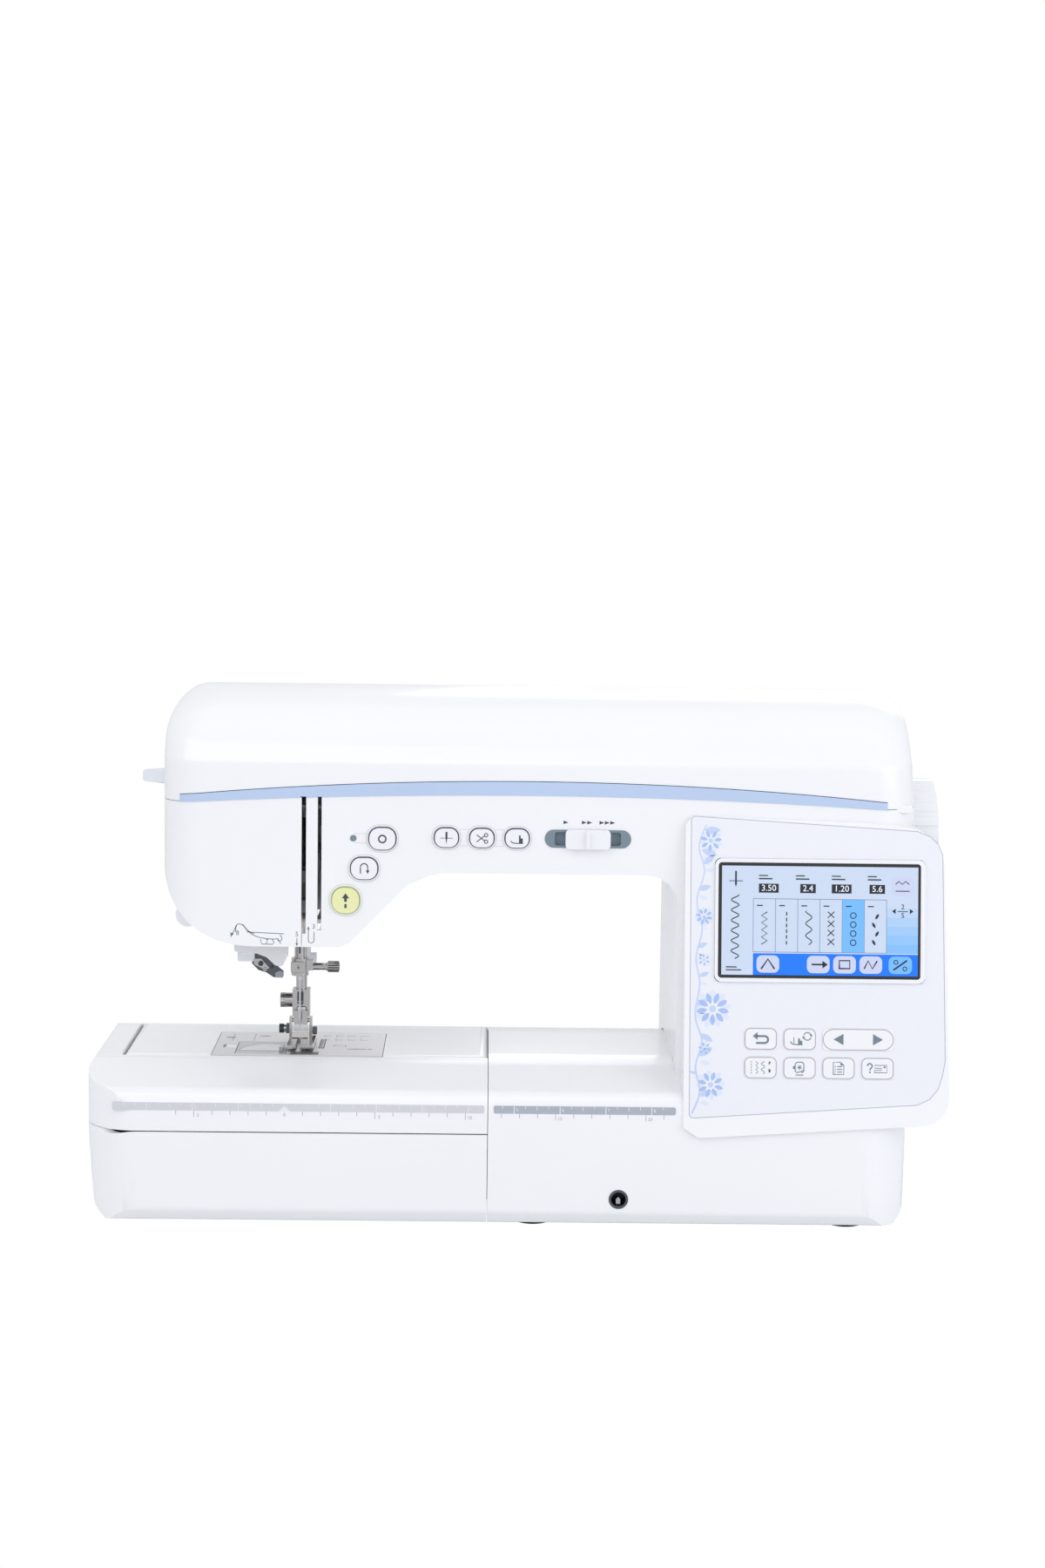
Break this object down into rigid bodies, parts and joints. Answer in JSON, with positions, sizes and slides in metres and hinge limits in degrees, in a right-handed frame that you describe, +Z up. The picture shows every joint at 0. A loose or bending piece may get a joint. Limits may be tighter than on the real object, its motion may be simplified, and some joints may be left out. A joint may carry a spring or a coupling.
{
  "type": "sewing machine",
  "caption": "Household computerised sewing machine with free arm, slide-off flat bed, hinged lid, handwheel, presser foot, thread cutter and a control panel with display.",
  "frame": {"origin": "middle of the footprint, on the surface the machine stands on", "axes": "+X to the operator's right along the arm, +Y to the back, +Z up"},
  "size_m": [0.48, 0.2492, 0.2955],
  "materials": {
    "cover_white": "glossy moulded plastic",
    "key_white": "satin moulded plastic",
    "start_lens": "lit translucent plastic",
    "strip_blue": "glossy pale blue trim",
    "grey_plastic": "satin grey plastic",
    "black_plastic": "matte black plastic",
    "clear_blue": "tinted clear plastic",
    "steel": "brushed steel",
    "nickel": "nickel plate",
    "cast": "cast aluminium",
    "rubber": "matte rubber",
    "board": "green circuit board",
    "screen": "screen behind a clear window",
    "lamp": "translucent lamp window",
    "sheet_steel": "zinc grey sheet"
  },
  "bodies": {
    "root": {"front_cover": "cover_white", "rear_cover": "cover_white", "face_cover": "cover_white", "base_cover": "cover_white", "bottom_plate": "sheet_steel", "rubber_feet": "rubber", "free_arm_cover": "cover_white", "needle_plate": "steel", "bobbin_case": "black_plastic", "machine_frame": "cast", "drive_belts": "rubber", "main_motor": "sheet_steel", "circuit_board": "board", "inlet_panel": "black_plastic", "work_lamp": "lamp", "accent_strip": "strip_blue", "spool_pin": "key_white", "control_panel": "cover_white", "display": "screen", "thread_cutter": "key_white"},
    "cover": {"bobbin_cover": "clear_blue"},
    "latch": {"cover_latch": "key_white"},
    "bobbin": {"bobbin": "clear_blue"},
    "hook": {"rotary_hook": "steel"},
    "feed": {"feed_dogs": "steel"},
    "lower_shaft": {"lower_shaft": "steel"},
    "drive": {"upper_shaft": "steel", "handwheel": "key_white"},
    "motor_rotor": {"motor_pulley": "steel"},
    "take_up": {"take_up_lever": "nickel"},
    "needle_bar": {"needle_bar": "nickel", "needle_clamp": "nickel", "needle": "steel"},
    "presser": {"presser_bar": "nickel", "foot_holder": "nickel"},
    "foot": {"presser_foot": "nickel"},
    "lift_lever": {"presser_lever": "key_white"},
    "threader_lever": {"threader_lever": "strip_blue"},
    "threader": {"threader_head": "grey_plastic"},
    "switch": {"power_switch": "black_plastic"},
    "lid": {"top_lid": "cover_white"},
    "spool_cap": {"spool_cap": "key_white"},
    "winder": {"bobbin_winder": "key_white"},
    "handle": {"carrying_handle": "key_white"},
    "speed": {"speed_slider": "key_white"},
    "flat_bed": {"flat_bed": "cover_white"},
    "door": {"accessory_door": "cover_white"},
    "start_key": {"start_key": "start_lens"},
    "reverse_key": {"reverse_key": "key_white"},
    "tack_key": {"tack_key": "key_white"},
    "needle_key": {"needle_key": "key_white"},
    "cutter_key": {"cutter_key": "key_white"},
    "foot_key": {"foot_key": "key_white"},
    "back_key": {"back_key": "key_white"},
    "width_key": {"width_key": "key_white"},
    "page_rocker": {"page_rocker": "key_white"},
    "stitch_key": {"stitch_key": "key_white"},
    "hoop_key": {"hoop_key": "key_white"},
    "list_key": {"list_key": "key_white"},
    "help_key": {"help_key": "key_white"}
  },
  "joints": [
    {"name": "handwheel_turn", "type": "hinge", "parent": "root", "child": "drive", "pos_m": [0.1, -0.03, 0.211], "axis": [1, 0, 0], "continuous": true},
    {"name": "lower_shaft_turn", "type": "hinge", "parent": "root", "child": "lower_shaft", "pos_m": [0, -0.0366, 0.0612], "axis": [1, 0, 0], "continuous": true},
    {"name": "hook_turn", "type": "hinge", "parent": "root", "child": "hook", "pos_m": [-0.143, -0.051, 0.0657], "axis": [0, 0, 1], "continuous": true},
    {"name": "motor_turn", "type": "hinge", "parent": "root", "child": "motor_rotor", "pos_m": [0.14, 0.018, 0.13], "axis": [1, 0, 0], "continuous": true},
    {"name": "bobbin_spin", "type": "hinge", "parent": "root", "child": "bobbin", "pos_m": [-0.143, -0.051, 0.0719], "axis": [0, 0, 1], "continuous": true},
    {"name": "needle_stroke", "type": "slide", "parent": "root", "child": "needle_bar", "axis": [0, 0, -1], "range_m": [0, 0.03]},
    {"name": "take_up_swing", "type": "hinge", "parent": "root", "child": "take_up", "pos_m": [-0.112, -0.055, 0.196], "axis": [1, 0, 0], "range_deg": [0, 70]},
    {"name": "presser_lift", "type": "slide", "parent": "root", "child": "presser", "axis": [0, 0, 1], "range_m": [0, 0.006]},
    {"name": "foot_rock", "type": "hinge", "parent": "presser", "child": "foot", "pos_m": [-0.125, -0.0329, 0.0995], "axis": [-1, 0, 0], "range_deg": [0, 4]},
    {"name": "lift_lever_swing", "type": "hinge", "parent": "root", "child": "lift_lever", "pos_m": [-0.125, 0.0075, 0.1685], "axis": [1, 0, 0], "range_deg": [0, 60]},
    {"name": "feed_drop", "type": "slide", "parent": "root", "child": "feed", "axis": [0, 0, -1], "range_m": [0, 0.003]},
    {"name": "cover_lift", "type": "slide", "parent": "root", "child": "cover", "axis": [0, 0, 1], "range_m": [0, 0.004]},
    {"name": "latch_slide", "type": "slide", "parent": "root", "child": "latch", "axis": [-1, 0, 0], "range_m": [0, 0.0012], "stiffness_N_per_m": 200, "springref_m": -0.0005},
    {"name": "threader_pull", "type": "slide", "parent": "root", "child": "threader_lever", "axis": [0, 0, -1], "range_m": [0, 0.044], "stiffness_N_per_m": 60, "springref_m": -0.02},
    {"name": "threader_drop", "type": "slide", "parent": "root", "child": "threader", "axis": [0, 0, -1], "range_m": [0, 0.0264]},
    {"name": "power_rock", "type": "hinge", "parent": "root", "child": "switch", "pos_m": [0.216, 0.032, 0.038], "axis": [0, 1, 0], "range_deg": [-8, 8]},
    {"name": "lid_open", "type": "hinge", "parent": "root", "child": "lid", "pos_m": [0, 0.052, 0.234], "axis": [-1, 0, 0], "range_deg": [0, 70]},
    {"name": "spool_cap_slide", "type": "slide", "parent": "root", "child": "spool_cap", "axis": [-1, 0, 0], "range_m": [0, 0.05]},
    {"name": "winder_engage", "type": "slide", "parent": "root", "child": "winder", "axis": [1, 0, 0], "range_m": [0, 0.005]},
    {"name": "handle_swing", "type": "hinge", "parent": "root", "child": "handle", "pos_m": [0.025, 0.0574, 0.224], "axis": [1, 0, 0], "range_deg": [0, 90]},
    {"name": "speed_set", "type": "slide", "parent": "root", "child": "speed", "axis": [1, 0, 0], "range_m": [-0.01, 0.01]},
    {"name": "flat_bed_slide", "type": "slide", "parent": "root", "child": "flat_bed", "axis": [-1, 0, 0], "range_m": [0, 0.23]},
    {"name": "door_open", "type": "hinge", "parent": "flat_bed", "child": "door", "pos_m": [-0.128, -0.118, 0.057], "axis": [1, 0, 0], "range_deg": [0, 75]},
    {"name": "start_key_press", "type": "slide", "parent": "root", "child": "start_key", "axis": [0, 1, 0], "range_m": [0, 0.001], "stiffness_N_per_m": 400, "springref_m": -0.0005},
    {"name": "reverse_key_press", "type": "slide", "parent": "root", "child": "reverse_key", "axis": [0, 1, 0], "range_m": [0, 0.001], "stiffness_N_per_m": 400, "springref_m": -0.0005},
    {"name": "tack_key_press", "type": "slide", "parent": "root", "child": "tack_key", "axis": [0, 1, 0], "range_m": [0, 0.001], "stiffness_N_per_m": 400, "springref_m": -0.0005},
    {"name": "needle_key_press", "type": "slide", "parent": "root", "child": "needle_key", "axis": [0, 1, 0], "range_m": [0, 0.001], "stiffness_N_per_m": 400, "springref_m": -0.0005},
    {"name": "cutter_key_press", "type": "slide", "parent": "root", "child": "cutter_key", "axis": [0, 1, 0], "range_m": [0, 0.001], "stiffness_N_per_m": 400, "springref_m": -0.0005},
    {"name": "foot_key_press", "type": "slide", "parent": "root", "child": "foot_key", "axis": [0, 1, 0], "range_m": [0, 0.001], "stiffness_N_per_m": 400, "springref_m": -0.0005},
    {"name": "back_key_press", "type": "slide", "parent": "root", "child": "back_key", "axis": [0, 0.9899, -0.1414], "range_m": [0, 0.0005], "stiffness_N_per_m": 800, "springref_m": -0.0004},
    {"name": "width_key_press", "type": "slide", "parent": "root", "child": "width_key", "axis": [0, 0.9899, -0.1414], "range_m": [0, 0.0005], "stiffness_N_per_m": 800, "springref_m": -0.0004},
    {"name": "page_rocker_press", "type": "slide", "parent": "root", "child": "page_rocker", "axis": [0, 0.9899, -0.1414], "range_m": [0, 0.0005], "stiffness_N_per_m": 800, "springref_m": -0.0004},
    {"name": "stitch_key_press", "type": "slide", "parent": "root", "child": "stitch_key", "axis": [0, 0.9899, -0.1414], "range_m": [0, 0.0005], "stiffness_N_per_m": 800, "springref_m": -0.0004},
    {"name": "hoop_key_press", "type": "slide", "parent": "root", "child": "hoop_key", "axis": [0, 0.9899, -0.1414], "range_m": [0, 0.0005], "stiffness_N_per_m": 800, "springref_m": -0.0004},
    {"name": "list_key_press", "type": "slide", "parent": "root", "child": "list_key", "axis": [0, 0.9899, -0.1414], "range_m": [0, 0.0005], "stiffness_N_per_m": 800, "springref_m": -0.0004},
    {"name": "help_key_press", "type": "slide", "parent": "root", "child": "help_key", "axis": [0, 0.9899, -0.1414], "range_m": [0, 0.0005], "stiffness_N_per_m": 800, "springref_m": -0.0004}
  ],
  "couplings": [
    {"joint": "lower_shaft_turn", "follows": "handwheel_turn", "ratio": 1},
    {"joint": "hook_turn", "follows": "handwheel_turn", "ratio": 2},
    {"joint": "motor_turn", "follows": "handwheel_turn", "ratio": 2.1667},
    {"joint": "take_up_swing", "follows": "needle_stroke", "rad_per_m": 40.684},
    {"joint": "lift_lever_swing", "follows": "presser_lift", "rad_per_m": 174.36},
    {"joint": "threader_drop", "follows": "threader_pull", "ratio": 0.6}
  ]
}
